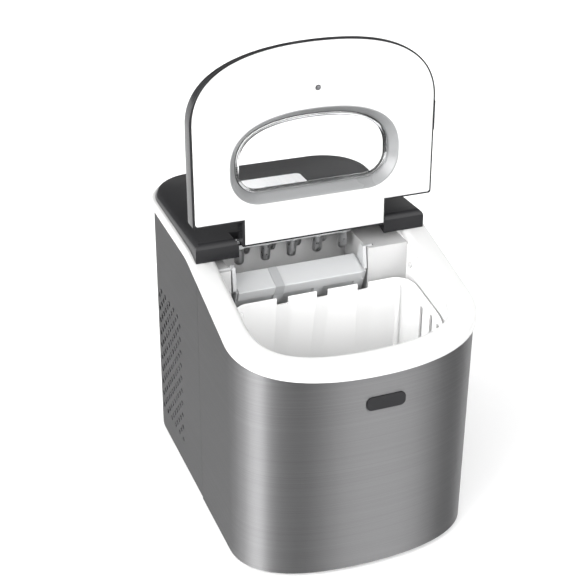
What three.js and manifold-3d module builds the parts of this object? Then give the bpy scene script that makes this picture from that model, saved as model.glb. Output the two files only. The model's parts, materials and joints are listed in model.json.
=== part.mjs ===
// Countertop ice maker, lid open. Millimetres, +Z up, front towards -Y, X to the right seen
// from the front. The origin is at the bottom centre of the machine, on the worktop; every
// height below is measured from the lower edge of the steel body, which stands on its feet.
import * as THREE from 'three';
import { mergeVertices } from 'three/addons/utils/BufferGeometryUtils.js';
import Module from 'manifold-3d';

const wasm = await Module();
wasm.setup();

// ---------------------------------------------------------------- driving dimensions
const HALF_WIDTH = 121; // steel body at the front
const REAR_HALF_WIDTH = 118.5; // the sides draw in slightly towards the back
const HALF_DEPTH = 171.5;
const FRONT_CURVE_START = -105.8; // where each side begins to turn into the front
const FRONT_CURVE_PULL_Y = -144;
const FRONT_CURVE_PULL_X = 87;
const REAR_CORNER_RADIUS = 52;
const KINK_Y = 8; // the sloped top meets the level rear top here
const KINK_Z = 266.9; // height of the steel's top edge at the kink
const FRONT_SLOPE = 0.2885; // fall of the top per millimetre forward of the kink
const REAR_RISE = 0.02;
const SEAM_Y = -18; // front and rear sheets meet here
const SHEET = 0.8; // steel thickness
const GAP = 0.3; // clearance between pieces that rest on each other
const CURVE_STEPS = 10; // straight steps in each curve of an outline

const RIM_OVERHANG = 2.8;
const RIM_RISE = 5; // rim's top face above the steel's edge
const RIM_SKIRT = 3.5; // rim's outer edge below the steel's edge

const TUB_HALF_WIDTH = 98;
const TUB_FRONT = -148.6;
const TUB_REAR = 50;
const TUB_FLOOR = 92;
const TUB_WALL = 2.5;

const FOOT_HEIGHT = 6; // the steel's lower edge above the worktop
const FOOT_PLACES = { x: 72, y: 120 };
const REAR_SHEET_LOW = 2;
const PAN_LOW = 0.5;
const PAN_TOP = 14;
const BADGE = { left: -12, right: 26, low: 175, high: 189, corner: 5, depth: 1.2 };
const DRAIN = { y: -70, z: 30, hole: 9.4 };
const GLAND = { x: -58, z: 28, hole: 8.3 };
const VENT = {
  front: 44, pitchY: 20, columns: 4, low: 34, pitchZ: 24, rows: 6, length: 12, height: 5,
};

const HOUSING_INSET = 1.6;
const HOUSING_FRONT = -12.3;
const HOUSING_TOP = 285; // at the front edge
const HOUSING_FALL = 0.0207;
const NOTCH_HALF_WIDTH = 75.5;
const NOTCH_BACK = 3;
const SHELL = 2.2;
const PIN_RADIUS = 2.4;
const PIN_HOLE = 2.8;

const HINGE_Y = -7.5;
const HINGE_Z = 280.36;
const LID_LEAN = 1.55; // degrees past upright when open
const LID_HALF_WIDTH = 122;
const LID_LENGTH = 191.1; // from the hinge axis to the free edge
const LID_SHOULDER = 25.6;
const TONGUE_HALF_WIDTH = 73.5;
const LID_FACE = 12; // liner's face in front of the hinge axis
const LID_BACK = -6.5;
const LID_EDGE_BACK = 7.5; // the back slopes in towards the liner at the free edge
const LID_SCREW = { x: 1.6, y: 145.3 };
const WINDOW_HALF_WIDTH = 84;
const WINDOW_LOW = 40.6;
const WINDOW_HIGH = 125.6;

const TRAY_PIVOT = { y: -14, z: 256 };
const TRAY_REST_TILT = -68; // degrees from level, as it stands after dropping the ice
const TRAY_LEFT = -83;
const TRAY_RIGHT = 52;
const TRAY_FRONT = 1.5;
const TRAY_REAR = 46;
const TRAY_LOW = 238;
const TRAY_HIGH = 261;
const CHUTE_TABS = [-39.5, 2, 45];

const FINGER_PITCH = 27.2;
const FIRST_FINGER = -66.5;
const FINGER_RADIUS = 6;
const FINGER_TIP = 245.3;
const HEADER_LOW = 263;
const FINGER_ROWS = [{ y: 14, count: 5, shift: 0 }, { y: 34, count: 4, shift: FINGER_PITCH / 2 }];
const BEARING = { right: -86.5, front: -20, rear: 34, low: 150, high: 257 };
const GEARBOX = { left: 55.5, front: -21, rear: 34, low: 140, high: 257 };

const BASKET_FLOOR = 122.3;
const BASKET_FRONT = -146.5;
const BASKET_REAR = -32;
const BASKET_HALF_WIDTH = 95.5;
const BASKET_CORNER = 20;
const BASKET_WALL = 2;
const SENSOR = { y: -30, z: 236, radius: 3 };

const COMPRESSOR = { x: -64, y: 112, low: 16 };
const FAN = { x: 66, y: 110, z: 74 };

const PLATE = { x: 4, halfWidth: 36, front: 26, rear: 124 };
const BUTTON_Y = 60;
const BUTTON_RADIUS = 7;
const BUTTON_OFFSET = 15;

// ---------------------------------------------------------------- materials
function material(color, roughness, metalness) {
  return new THREE.MeshStandardMaterial({ color, roughness, metalness });
}
const steel = material(0x9a9a9c, 0.35, 0.9);
const whitePlastic = material(0xf4f4f2, 0.35, 0);
const blackGloss = material(0x1d1d1f, 0.12, 0);
const darkPlastic = material(0x2b2b2e, 0.5, 0);
const clearPlastic = material(0xdfe4e6, 0.08, 0);
const chrome = material(0xc9ccd0, 0.15, 1);
const silver = material(0xd6d7d9, 0.3, 0.6);
const rubber = material(0x222222, 0.85, 0);
const copper = material(0xb06a3c, 0.35, 1);
const greenBoard = material(0x1f5f38, 0.5, 0);
const blackPaint = material(0x18181a, 0.4, 0.3);
const paleGrey = material(0xcfd2d3, 0.4, 0);

// ---------------------------------------------------------------- solids
function signedVolume(geometry) {
  const p = geometry.attributes.position;
  const at = (k) => new THREE.Vector3().fromBufferAttribute(p, geometry.index.getX(k));
  let total = 0;
  for (let k = 0; k < geometry.index.count; k += 3) total += at(k).dot(at(k + 1).cross(at(k + 2)));
  return total;
}

function welded(geometry) {
  const bare = geometry.clone();
  bare.deleteAttribute('normal');
  bare.deleteAttribute('uv');
  const result = mergeVertices(bare, 1e-4);
  if (signedVolume(result) < 0) result.setIndex(Array.from(result.index.array).reverse());
  return result;
}

function solid(geometry) {
  const mesh = welded(geometry);
  return new wasm.Manifold(new wasm.Mesh({
    numProp: 3,
    vertProperties: Float32Array.from(mesh.attributes.position.array),
    triVerts: Uint32Array.from(mesh.index.array),
  }));
}

function joined(first, ...others) {
  return others.reduce((sum, other) => sum.add(solid(other)), asSolid(first));
}

function cut(first, ...others) {
  return others.reduce((rest, other) => rest.subtract(asSolid(other)), asSolid(first));
}

function common(first, ...others) {
  return others.reduce((rest, other) => rest.intersect(asSolid(other)), asSolid(first));
}

function asSolid(shape) {
  return shape.isBufferGeometry ? solid(shape) : shape;
}

function geometryOf(shape) {
  if (shape.isBufferGeometry) {
    const mesh = welded(shape);
    mesh.computeVertexNormals();
    return mesh;
  }
  const mesh = shape.getMesh();
  const geometry = new THREE.BufferGeometry();
  geometry.setAttribute('position', new THREE.BufferAttribute(mesh.vertProperties, 3));
  geometry.setIndex(new THREE.BufferAttribute(mesh.triVerts, 1));
  geometry.computeVertexNormals();
  return geometry;
}

// A level slab with the given outline, from z = low to z = high.
function prism(shape, low, high, hole = null) {
  const outline = hole ? new THREE.Shape(shape.getPoints(CURVE_STEPS)) : shape;
  if (hole) outline.holes.push(new THREE.Path(hole.getPoints(CURVE_STEPS)));
  const depth = high - low;
  const options = { depth, bevelEnabled: false, curveSegments: CURVE_STEPS };
  return new THREE.ExtrudeGeometry(outline, options).translate(0, 0, low);
}

// A side view, given as [y, z] corners, carried right across the machine.
function acrossWidth(corners, left = -200, right = 200) {
  const outline = new THREE.Shape(corners.map(([y, z]) => new THREE.Vector2(y, z)));
  const geometry = new THREE.ExtrudeGeometry(outline, { depth: right - left, bevelEnabled: false });
  const toSide = new THREE.Matrix4().makeBasis(
    new THREE.Vector3(0, 1, 0), new THREE.Vector3(0, 0, 1), new THREE.Vector3(1, 0, 0));
  return geometry.applyMatrix4(toSide).translate(left, 0, 0);
}

// A closed skin through rings of the same number of points, capped at both ends.
function loft(rings) {
  const count = rings[0].length;
  const index = [];
  for (let ring = 0; ring + 1 < rings.length; ring++) {
    for (let i = 0; i < count; i++) {
      const a = ring * count + i;
      const b = ring * count + ((i + 1) % count);
      index.push(a, b, b + count, a, b + count, a + count);
    }
  }
  const flat = rings[0].map((p) => new THREE.Vector2(p.x, p.y));
  const last = (rings.length - 1) * count;
  for (const [a, b, c] of THREE.ShapeUtils.triangulateShape(flat, [])) {
    index.push(a, c, b, last + a, last + b, last + c);
  }
  const geometry = new THREE.BufferGeometry().setFromPoints(rings.flat());
  geometry.setIndex(index);
  return geometry;
}

function atHeight(shape, z) {
  return shape.getPoints(CURVE_STEPS).slice(0, -1).map((p) => new THREE.Vector3(p.x, p.y, z));
}

// A turned piece: [radius, height] corners from the bottom of the axis to its top.
function turned(corners, segments = 16) {
  const profile = corners.map(([r, z]) => new THREE.Vector2(r, z));
  return new THREE.LatheGeometry(profile, segments).rotateX(Math.PI / 2);
}

function cylinder(radius, low, high, segments = 16) {
  return turned([[0, low], [radius, low], [radius, high], [0, high]], segments);
}

function box(x0, x1, y0, y1, z0, z1) {
  const geometry = new THREE.BoxGeometry(x1 - x0, y1 - y0, z1 - z0);
  return geometry.translate((x0 + x1) / 2, (y0 + y1) / 2, (z0 + z1) / 2);
}

function polygonShape(radius, sides) {
  const shape = new THREE.Shape();
  for (let i = 0; i < sides; i++) {
    const angle = (2 * Math.PI * i) / sides;
    shape[i ? 'lineTo' : 'moveTo'](radius * Math.cos(angle), radius * Math.sin(angle));
  }
  return shape;
}

function pipe(points, radius, steps, sides = 8) {
  const route = points.map((p) => new THREE.Vector3(...p));
  const extrudePath = new THREE.CatmullRomCurve3(route, false, 'centripetal');
  const options = { steps, extrudePath, bevelEnabled: false };
  return new THREE.ExtrudeGeometry(polygonShape(radius, sides), options);
}

function roundedRectangle(x0, x1, y0, y1, radius) {
  const shape = new THREE.Shape();
  shape.moveTo(x1, y0 + radius);
  shape.lineTo(x1, y1 - radius);
  shape.absarc(x1 - radius, y1 - radius, radius, 0, Math.PI / 2, false);
  shape.lineTo(x0 + radius, y1);
  shape.absarc(x0 + radius, y1 - radius, radius, Math.PI / 2, Math.PI, false);
  shape.lineTo(x0, y0 + radius);
  shape.absarc(x0 + radius, y0 + radius, radius, Math.PI, 1.5 * Math.PI, false);
  shape.lineTo(x1 - radius, y0);
  shape.absarc(x1 - radius, y0 + radius, radius, 1.5 * Math.PI, 2 * Math.PI, false);
  return shape;
}

// ---------------------------------------------------------------- the machine's outlines
function steelTop(y) {
  return y < KINK_Y ? KINK_Z - FRONT_SLOPE * (KINK_Y - y) : KINK_Z + REAR_RISE * (y - KINK_Y);
}

function housingTop(y) {
  return HOUSING_TOP - HOUSING_FALL * (y - HOUSING_FRONT);
}

function sideX(y) {
  const along = (y - FRONT_CURVE_START) / (HALF_DEPTH - REAR_CORNER_RADIUS - FRONT_CURVE_START);
  return HALF_WIDTH + (REAR_HALF_WIDTH - HALF_WIDTH) * along;
}

function traceFront(path, inset) {
  const side = HALF_WIDTH - inset;
  const front = inset - HALF_DEPTH;
  const pull = FRONT_CURVE_PULL_X;
  path.lineTo(-side, FRONT_CURVE_START);
  path.bezierCurveTo(-side, FRONT_CURVE_PULL_Y, -pull, front, 0, front);
  path.bezierCurveTo(pull, front, side, FRONT_CURVE_PULL_Y, side, FRONT_CURVE_START);
}

function traceRear(path, inset) {
  const centre = REAR_HALF_WIDTH - REAR_CORNER_RADIUS;
  const level = HALF_DEPTH - REAR_CORNER_RADIUS;
  const radius = REAR_CORNER_RADIUS - inset;
  path.lineTo(sideX(KINK_Y) - inset, KINK_Y);
  path.absarc(centre, level, radius, 0, Math.PI / 2, false);
  path.absarc(-centre, level, radius, Math.PI / 2, Math.PI, false);
  path.lineTo(inset - sideX(KINK_Y), KINK_Y);
}

function bodyShape(inset) {
  const shape = new THREE.Shape();
  shape.moveTo(HALF_WIDTH - inset, FRONT_CURVE_START);
  traceRear(shape, inset);
  traceFront(shape, inset);
  return shape;
}

function openingShape(inset) {
  const side = TUB_HALF_WIDTH - inset;
  const front = TUB_FRONT + inset;
  const shape = new THREE.Shape();
  shape.moveTo(side, -92);
  shape.lineTo(side, TUB_REAR - inset);
  shape.lineTo(-side, TUB_REAR - inset);
  shape.lineTo(-side, -92);
  shape.bezierCurveTo(-side, -132, -78, front, 0, front);
  shape.bezierCurveTo(78, front, side, -132, side, -92);
  return shape;
}

// Everything below the top of the machine, moved up or down.
function belowTop(offset, low = -20) {
  const corners = [[-200, steelTop(-200)], [KINK_Y, steelTop(KINK_Y)], [200, steelTop(200)]];
  return acrossWidth([[-200, low], [200, low], ...corners.reverse().map(([y, z]) => [y, z + offset])]);
}

// ---------------------------------------------------------------- cabinet
function sheetBand(trace, seamY, low) {
  const outer = new THREE.Path();
  const inner = new THREE.Path();
  for (const [path, inset] of [[outer, 0], [inner, SHEET]]) {
    const start = trace === traceFront ? -1 : 1;
    path.moveTo(start * (sideX(seamY) - inset), seamY);
    trace(path, inset);
    path.lineTo(-start * (sideX(seamY) - inset), seamY);
  }
  const ring = [...outer.getPoints(CURVE_STEPS), ...inner.getPoints(CURVE_STEPS).reverse()];
  return loft([
    ring.map((p) => new THREE.Vector3(p.x, p.y, low)),
    ring.map((p) => new THREE.Vector3(p.x, p.y, steelTop(p.y))),
  ]);
}

function frontWrap() {
  const hole = cylinder(DRAIN.hole, 100, 140).rotateY(Math.PI / 2).translate(0, DRAIN.y, DRAIN.z);
  return cut(sheetBand(traceFront, SEAM_Y, 0), hole);
}

function rearWrap() {
  let wrap = asSolid(sheetBand(traceRear, SEAM_Y + GAP, REAR_SHEET_LOW));
  for (let column = 0; column < VENT.columns; column++) {
    for (let row = 0; row < VENT.rows; row++) {
      const y = VENT.front + column * VENT.pitchY;
      const z = VENT.low + row * VENT.pitchZ + (column % 2) * (VENT.pitchZ / 2);
      wrap = cut(wrap, box(-150, 150, y, y + VENT.length, z, z + VENT.height));
    }
  }
  const inlet = cylinder(GLAND.hole, 150, 190).rotateX(-Math.PI / 2);
  return cut(wrap, inlet.translate(GLAND.x, 0, GLAND.z));
}

function cordGland() {
  const outside = [[0, 3], [3.2, 3], [3.2, 9.5], [10, 9.5], [10, 7.1], [8, 7.1], [8, 0], [0, 0]];
  const gland = turned(outside.reverse(), 20);
  return gland.rotateX(-Math.PI / 2).translate(GLAND.x, HALF_DEPTH - 6.7, GLAND.z);
}

function basePan() {
  const wall = SHEET + GAP;
  const hollow = prism(bodyShape(wall + 2), PAN_LOW + 3, PAN_TOP + 5);
  return cut(prism(bodyShape(wall), PAN_LOW, PAN_TOP), hollow);
}

function topRim() {
  const outer = common(prism(bodyShape(-RIM_OVERHANG), 100, 320), belowTop(RIM_RISE, 100));
  const under = common(prism(bodyShape(-GAP), 50, 320), belowTop(GAP, 50));
  const cap = cut(outer, under, belowTop(-RIM_SKIRT, 50));
  const lip = common(prism(openingShape(-TUB_WALL), 100, 320), belowTop(RIM_RISE, 100));
  return cut(cap.add(cut(lip, belowTop(-RIM_SKIRT, 50))), prism(openingShape(0), 50, 400));
}

function innerTub() {
  const outside = common(prism(openingShape(-TUB_WALL), TUB_FLOOR, 320), belowTop(-RIM_SKIRT - GAP, 50));
  const tub = cut(outside, prism(openingShape(0), TUB_FLOOR + TUB_WALL, 400));
  const ledge = (side) => box(side - 9, side + 9, -100, -40, 116, BASKET_FLOOR - GAP);
  return tub.add(solid(ledge(-TUB_HALF_WIDTH + 7))).add(solid(ledge(TUB_HALF_WIDTH - 7)));
}

function housingForm(inset, drop) {
  const chamfer = 4.4;
  const outline = (extra) => bodyShape(HOUSING_INSET + inset + extra);
  const sides = loft([
    atHeight(outline(0), 240), atHeight(outline(0), 279 - drop), atHeight(outline(chamfer), 286 - drop)]);
  const profile = [[HOUSING_FRONT + inset, 240], [200, 240], [200, housingTop(200) - drop],
    [HOUSING_FRONT + 3 + inset, housingTop(HOUSING_FRONT) - drop], [HOUSING_FRONT + inset, 282 - drop]];
  const half = NOTCH_HALF_WIDTH + inset;
  const notch = box(-half, half, -50, NOTCH_BACK + inset, 200, 320);
  return cut(common(sides, acrossWidth(profile)), notch);
}

function controlHousing() {
  const shell = cut(housingForm(0, 0), housingForm(SHELL, SHELL), belowTop(RIM_RISE + GAP));
  const pinHole = cylinder(PIN_HOLE, -90, 90, 12).rotateY(Math.PI / 2).translate(0, HINGE_Y, HINGE_Z);
  return cut(shell, pinHole, stemHole(-1), stemHole(1));
}

function atButton(geometry, side) {
  return geometry.translate(PLATE.x + side * BUTTON_OFFSET, BUTTON_Y, 0);
}

function stemHole(side) {
  return atButton(cylinder(3.2, 270, 300, 12), side);
}

function onHousing(shape, low, high) {
  const slab = acrossWidth([[-50, housingTop(-50) + low], [200, housingTop(200) + low],
    [200, housingTop(200) + high], [-50, housingTop(-50) + high]]);
  return common(prism(shape, 200, 320), slab);
}

function controlPlate() {
  const { x, halfWidth, front, rear } = PLATE;
  const outline = roundedRectangle(x - halfWidth, x + halfWidth, front, rear, 5);
  return cut(onHousing(outline, GAP, GAP + 0.8), stemHole(-1), stemHole(1));
}

function button(side) {
  const z = housingTop(BUTTON_Y);
  const cap = turned([[0, z + 3], [2.4, z + 3], [BUTTON_RADIUS, z + 3], [BUTTON_RADIUS, z + 4.4],
    [BUTTON_RADIUS - 1, z + 5], [0, z + 5]], 20);
  const stem = cylinder(2.4, 277.3, z + 3.5, 12);
  return joined(atButton(cap, side), atButton(stem, side));
}

function buttonSpring(side) {
  const turns = 3;
  const points = [];
  for (let i = 0; i <= turns * 8; i++) {
    const angle = (2 * Math.PI * i) / 8;
    points.push([4 * Math.cos(angle), 4 * Math.sin(angle), 276.4 + (3.6 * i) / (turns * 8)]);
  }
  return atButton(pipe(points, 0.4, 30, 5), side);
}

function indicator(order) {
  const dot = new THREE.Shape().absarc(PLATE.x - 24 + 16 * order, 98, 3, 0, 2 * Math.PI);
  return onHousing(dot, GAP + 0.8 + GAP, 2);
}

// ---------------------------------------------------------------- lid, in its own frame
// x across, y from the hinge axis to the free edge, z out of the liner's face.
function lidShape(inset) {
  const side = LID_HALF_WIDTH - inset;
  const tongue = TONGUE_HALF_WIDTH - inset;
  const end = LID_LENGTH - inset;
  const low = inset - 1.6;
  const shoulder = LID_SHOULDER - 1.5 + inset;
  const bend = LID_LENGTH - 70;
  const shape = new THREE.Shape();
  shape.moveTo(tongue, low);
  shape.lineTo(tongue, shoulder);
  shape.lineTo(side, shoulder);
  shape.lineTo(side, bend);
  shape.bezierCurveTo(side, bend + 41, 86, end, 0, end);
  shape.bezierCurveTo(-86, end, -side, bend + 41, -side, bend);
  shape.lineTo(-side, shoulder);
  shape.lineTo(-tongue, shoulder);
  shape.lineTo(-tongue, low);
  shape.lineTo(tongue, low);
  return shape;
}

function windowShape(inset) {
  const half = WINDOW_HALF_WIDTH - inset;
  const low = WINDOW_LOW + inset;
  const high = WINDOW_HIGH - inset;
  const corner = 30 - inset;
  const shape = new THREE.Shape();
  shape.moveTo(half - corner, low);
  shape.absarc(half - corner, low + corner, corner, 1.5 * Math.PI, 2 * Math.PI, false);
  shape.lineTo(half, high - 48 + inset);
  shape.bezierCurveTo(half, high - 13, 50, high, 0, high);
  shape.bezierCurveTo(-50, high, -half, high - 13, -half, high - 48 + inset);
  shape.absarc(corner - half, low + corner, corner, Math.PI, 1.5 * Math.PI, false);
  shape.lineTo(half - corner, low);
  return shape;
}

// The lid's block behind the liner, its back sloping in towards the free edge.
function lidForm(inset, front) {
  const back = LID_BACK + inset;
  const edge = LID_EDGE_BACK + inset;
  const side = [[-30, front], [-30, back], [96, back], [140, back + 1.6], [168, back + 6],
    [LID_LENGTH - 4, edge - 2], [LID_LENGTH + 5, edge], [LID_LENGTH + 5, front]];
  return common(prism(lidShape(inset), -60, 60), acrossWidth(side));
}

function lidShell() {
  const skin = cut(lidForm(0, LID_FACE - 1.3), lidForm(1.6, LID_FACE + 20));
  const frame = common(prism(windowShape(5.2), LID_BACK, -0.9), lidForm(0, 10));
  const opening = prism(windowShape(7.3), -60, 60);
  const grip = roundedRectangle(LID_HALF_WIDTH - 1, LID_HALF_WIDTH + 1.6, 88, 118, 1.2);
  return cut(skin.add(frame), opening).add(solid(prism(grip, LID_BACK + 4, LID_FACE - 3)));
}

function lidLiner() {
  const face = prism(lidShape(2.3), LID_FACE - 1.8, LID_FACE, windowShape(0));
  const outside = loft([atHeight(windowShape(5), 0.9), atHeight(windowShape(-2), LID_FACE)]);
  const inside = loft([atHeight(windowShape(7), 0.6), atHeight(windowShape(0), LID_FACE + 0.3)]);
  const hole = cylinder(2.6, 0, 20, 12).translate(LID_SCREW.x, LID_SCREW.y, 0);
  return cut(joined(face, outside), inside, hole);
}

function lidScrew() {
  const profile = [[0, 0], [1.2, 0], [1.2, LID_FACE - 2], [2.2, LID_FACE - 1.6],
    [2.2, LID_FACE - 0.4], [0, LID_FACE - 0.2]];
  return turned(profile, 12).translate(LID_SCREW.x, LID_SCREW.y, 0);
}

function hingePin(side) {
  const pin = cylinder(PIN_RADIUS, TONGUE_HALF_WIDTH + GAP, 84, 12).rotateY(Math.PI / 2);
  return side < 0 ? pin.rotateZ(Math.PI) : pin;
}

// ---------------------------------------------------------------- ice making
function evaporator() {
  const last = FIRST_FINGER + 4 * FINGER_PITCH;
  let body = asSolid(box(FIRST_FINGER - 9, last + 9, 9, 39, HEADER_LOW, HEADER_LOW + 8));
  const finger = [[0, FINGER_TIP], [FINGER_RADIUS * 0.7, FINGER_TIP], [FINGER_RADIUS, FINGER_TIP + 2.5],
    [FINGER_RADIUS, HEADER_LOW + 1], [0, HEADER_LOW + 1]];
  for (const row of FINGER_ROWS) {
    for (let i = 0; i < row.count; i++) {
      const x = FIRST_FINGER + row.shift + i * FINGER_PITCH;
      body = joined(body, turned(finger, 12).translate(x, row.y, 0));
    }
  }
  const roof = housingTop(24) - SHELL - GAP - 0.2;
  for (const x of [-42, 18]) {
    body = joined(body, cylinder(5, HEADER_LOW + 7, roof, 12).translate(x, 24, 0));
  }
  return body;
}

// The trough as it lies level under the fingers, before it is tilted about its pivot.
function waterTray() {
  const wall = 2;
  const profile = [[TRAY_FRONT, TRAY_HIGH], [TRAY_FRONT, TRAY_LOW], [TRAY_REAR - 8, TRAY_LOW],
    [TRAY_REAR, TRAY_LOW + 8], [TRAY_REAR, TRAY_HIGH]];
  const hollow = [[TRAY_FRONT + wall, TRAY_HIGH + 5], [TRAY_FRONT + wall, TRAY_LOW + wall],
    [TRAY_REAR - 9, TRAY_LOW + wall], [TRAY_REAR - wall, TRAY_LOW + 9], [TRAY_REAR - wall, TRAY_HIGH + 5]];
  const trough = cut(acrossWidth(profile, TRAY_LEFT, TRAY_RIGHT),
    acrossWidth(hollow, TRAY_LEFT + wall, TRAY_RIGHT - wall));
  const { y, z } = TRAY_PIVOT;
  const arm = [[y - 4, z - 3], [y - 2, z + 3], [y + 3, z + 4], [TRAY_FRONT + 6, z + 4],
    [TRAY_FRONT + 6, TRAY_LOW + 6], [TRAY_FRONT, TRAY_LOW + 3]];
  const leftArm = acrossWidth(arm, TRAY_LEFT - 2, TRAY_LEFT + 1.5);
  const rightArm = acrossWidth(arm, TRAY_RIGHT - 1.5, TRAY_RIGHT + 2);
  const pin = (left, right) => cylinder(2, left, right, 12).rotateY(Math.PI / 2).translate(0, y, z);
  const pins = [pin(-TUB_HALF_WIDTH + 1, TRAY_LEFT - 1), pin(TRAY_RIGHT + 1, GEARBOX.left + 6)];
  return joined(trough, leftArm, rightArm, ...pins);
}

// The sloping plate on the tray's front wall, with three tabs along its lower edge.
function iceChute() {
  const left = TRAY_LEFT + 1.5 + GAP;
  const right = TRAY_RIGHT - 1.5 - GAP;
  const back = TRAY_FRONT - GAP;
  const under = TRAY_LOW - GAP;
  const profile = [[back, TRAY_HIGH], [back - 2, TRAY_HIGH], [back - 2, under - 2],
    [back + 10, under - 2], [back + 10, under], [back, under]];
  let chute = asSolid(acrossWidth(profile, left, right));
  for (const x of CHUTE_TABS) {
    chute = joined(chute, box(x - 5, x + 5, back + 8, back + 22, under - 2, under));
  }
  return chute;
}

function basketShape(inset) {
  const side = BASKET_HALF_WIDTH - inset;
  const front = BASKET_FRONT + inset;
  const rear = BASKET_REAR - inset;
  const corner = BASKET_CORNER - inset;
  const shape = new THREE.Shape();
  shape.moveTo(side, -92);
  shape.absarc(side - corner, rear - corner, corner, 0, Math.PI / 2, false);
  shape.absarc(corner - side, rear - corner, corner, Math.PI / 2, Math.PI, false);
  shape.lineTo(-side, -92);
  shape.bezierCurveTo(-side, -130, -76, front, 0, front);
  shape.bezierCurveTo(76, front, side, -130, side, -92);
  return shape;
}

function iceBasket() {
  const top = acrossWidth([[-200, 100], [0, 100], [0, 232], [-200, 199]]);
  const outside = common(prism(basketShape(0), BASKET_FLOOR, 300), top);
  let basket = cut(outside, prism(basketShape(BASKET_WALL), BASKET_FLOOR + 2, 300));
  for (const y of [-102, -86.8, -66.3]) {
    basket = cut(basket, box(-120, 120, y - 1.8, y + 1.8, 160, y > -80 ? 207 : 203));
  }
  for (const x of CHUTE_TABS) {
    basket = cut(basket, box(x - 6, x + 6, BASKET_REAR - 5, BASKET_REAR + 5, 219.5, 240));
  }
  for (const x of [-50, -25, 0, 25, 50]) {
    basket = cut(basket, box(x - 2, x + 2, -120, -55, 100, 140));
  }
  return basket;
}

function trayPinHole(left, right) {
  const { y, z } = TRAY_PIVOT;
  return cylinder(2.4, left, right, 12).rotateY(Math.PI / 2).translate(0, y, z);
}

// White mouldings on the tub's side walls that carry the tray's pins.
function trayBearing() {
  const outer = -TUB_HALF_WIDTH + GAP;
  const block = box(outer, BEARING.right, BEARING.front, BEARING.rear, BEARING.low, BEARING.high);
  return cut(block, trayPinHole(outer - 5, BEARING.right + 5));
}

function gearbox() {
  const outer = TUB_HALF_WIDTH - GAP;
  const block = box(GEARBOX.left, outer, GEARBOX.front, GEARBOX.rear, GEARBOX.low, GEARBOX.high);
  return cut(block, trayPinHole(GEARBOX.left - 5, GEARBOX.left + 8));
}

// ---------------------------------------------------------------- cooling and water
function compressor() {
  const shell = [[0, 0], [34, 0], [42, 8], [42, 94], [38, 108], [26, 116], [0, 118]];
  return turned(shell, 24).translate(COMPRESSOR.x, COMPRESSOR.y, COMPRESSOR.low);
}

function condenser() {
  let core = asSolid(box(80, 102, 64, 156, 22, 124));
  for (let i = 0; i < 8; i++) {
    core = cut(core, box(84, 104, 60, 160, 28 + i * 12, 34 + i * 12));
  }
  return core;
}

function alongX(geometry) {
  return geometry.rotateY(Math.PI / 2).translate(0, FAN.y, FAN.z);
}

function fanShroud() {
  const plate = box(60.5, 78, FAN.y - 46, FAN.y + 46, FAN.z - 50, FAN.z + 48);
  return cut(plate, alongX(cylinder(43, 50, 90, 24)));
}

function fanBlade() {
  let fan = asSolid(alongX(cylinder(11, 64, 75, 16)));
  for (let i = 0; i < 5; i++) {
    const blade = new THREE.BoxGeometry(1.6, 20, 29).rotateZ(0.5).translate(0, 0, 23.5);
    blade.rotateX((2 * Math.PI * i) / 5).translate(69.5, FAN.y, FAN.z);
    fan = joined(fan, blade);
  }
  return fan;
}

function fanMotor() {
  return joined(alongX(cylinder(15, 38, 59, 16)), alongX(cylinder(2, 58, 63.7, 10)));
}

function motorBracket() {
  const strap = box(34.5, 37.5, FAN.y - 46, FAN.y + 46, FAN.z - 6, FAN.z + 6);
  const leg = (y) => box(34.5, 60.2, y - 2, y + 2, FAN.z - 6, FAN.z + 6);
  return joined(strap, leg(FAN.y - 44), leg(FAN.y + 44));
}

function screwHead(x, z) {
  const profile = [[0, 0], [3, 0], [3, 1], [1.8, 1.9], [0, 2.1]];
  return turned(profile, 12).rotateX(-Math.PI / 2).translate(x, HALF_DEPTH + GAP, z);
}

// ---------------------------------------------------------------- assembly
const machine = new THREE.Group();
const cabinet = new THREE.Group();
cabinet.position.z = FOOT_HEIGHT;
machine.add(cabinet);

function place(name, shape, finish, parent = cabinet) {
  const mesh = new THREE.Mesh(geometryOf(shape), finish);
  mesh.name = name;
  parent.add(mesh);
}

function foot(x, y) {
  const top = PAN_LOW - GAP;
  const profile = [[0, 0], [10, 0], [11.5, 1.5], [11.5, FOOT_HEIGHT + top], [0, FOOT_HEIGHT + top]];
  return turned(profile).translate(x, y, -FOOT_HEIGHT);
}

place('foot_front_left', foot(-FOOT_PLACES.x, -FOOT_PLACES.y), rubber);
place('foot_front_right', foot(FOOT_PLACES.x, -FOOT_PLACES.y), rubber);
place('foot_rear_left', foot(-FOOT_PLACES.x, FOOT_PLACES.y), rubber);
place('foot_rear_right', foot(FOOT_PLACES.x, FOOT_PLACES.y), rubber);
place('base_pan', basePan(), darkPlastic);
place('front_wrap', frontWrap(), steel);
place('rear_wrap', rearWrap(), steel);
place('top_rim', topRim(), whitePlastic);
place('inner_tub', innerTub(), whitePlastic);
const badge = roundedRectangle(BADGE.left, BADGE.right, BADGE.low, BADGE.high, BADGE.corner);
place('front_badge', prism(badge, 0, BADGE.depth).rotateX(Math.PI / 2)
  .translate(0, -HALF_DEPTH - GAP, 0), blackGloss);
place('cord_gland', cordGland(), rubber);
[[-50, 240], [50, 240], [-50, 54], [50, 54]].forEach(([x, z], i) => {
  place(`rear_screw_${i + 1}`, screwHead(x, z), chrome);
});

place('control_housing', controlHousing(), blackGloss);
place('control_plate', controlPlate(), silver);
place('control_board', box(-26, 34, 46, 116, 274.4, 276), greenBoard);
['power', 'add_water', 'ice_full', 'run'].forEach((light, i) => {
  place(`indicator_${light}`, indicator(i), clearPlastic);
});
place('power_button', button(-1), silver);
place('select_button', button(1), silver);
place('power_button_spring', buttonSpring(-1), chrome);
place('select_button_spring', buttonSpring(1), chrome);

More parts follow.
